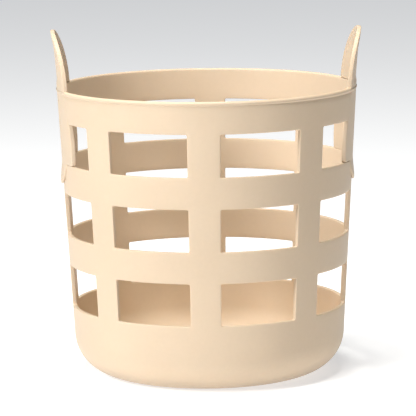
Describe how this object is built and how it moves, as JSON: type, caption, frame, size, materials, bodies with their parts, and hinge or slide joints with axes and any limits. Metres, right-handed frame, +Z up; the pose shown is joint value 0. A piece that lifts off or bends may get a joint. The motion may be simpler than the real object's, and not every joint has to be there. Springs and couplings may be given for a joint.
{
  "type": "storage basket",
  "caption": "Round open-topped plastic storage basket with a lattice of windows, a rounded closed base and an upright ear handle on each side.",
  "frame": {"origin": "middle of the underside, on the surface that the basket stands on", "axes": "+Z up along the basket's axis, -Y towards the front bar, the handles stand at +X and -X, 2.8 degrees round from them"},
  "size_m": [0.181, 0.1756, 0.202],
  "materials": {
    "body_plastic": "smooth satin, cream",
    "handle_plastic": "smooth satin, cream",
    "rivet_plastic": "smooth satin, cream"
  },
  "bodies": {
    "root": {"basket_body": "body_plastic", "handle_right": "handle_plastic", "handle_left": "handle_plastic", "handle_rivets": "rivet_plastic"}
  },
  "joints": []
}
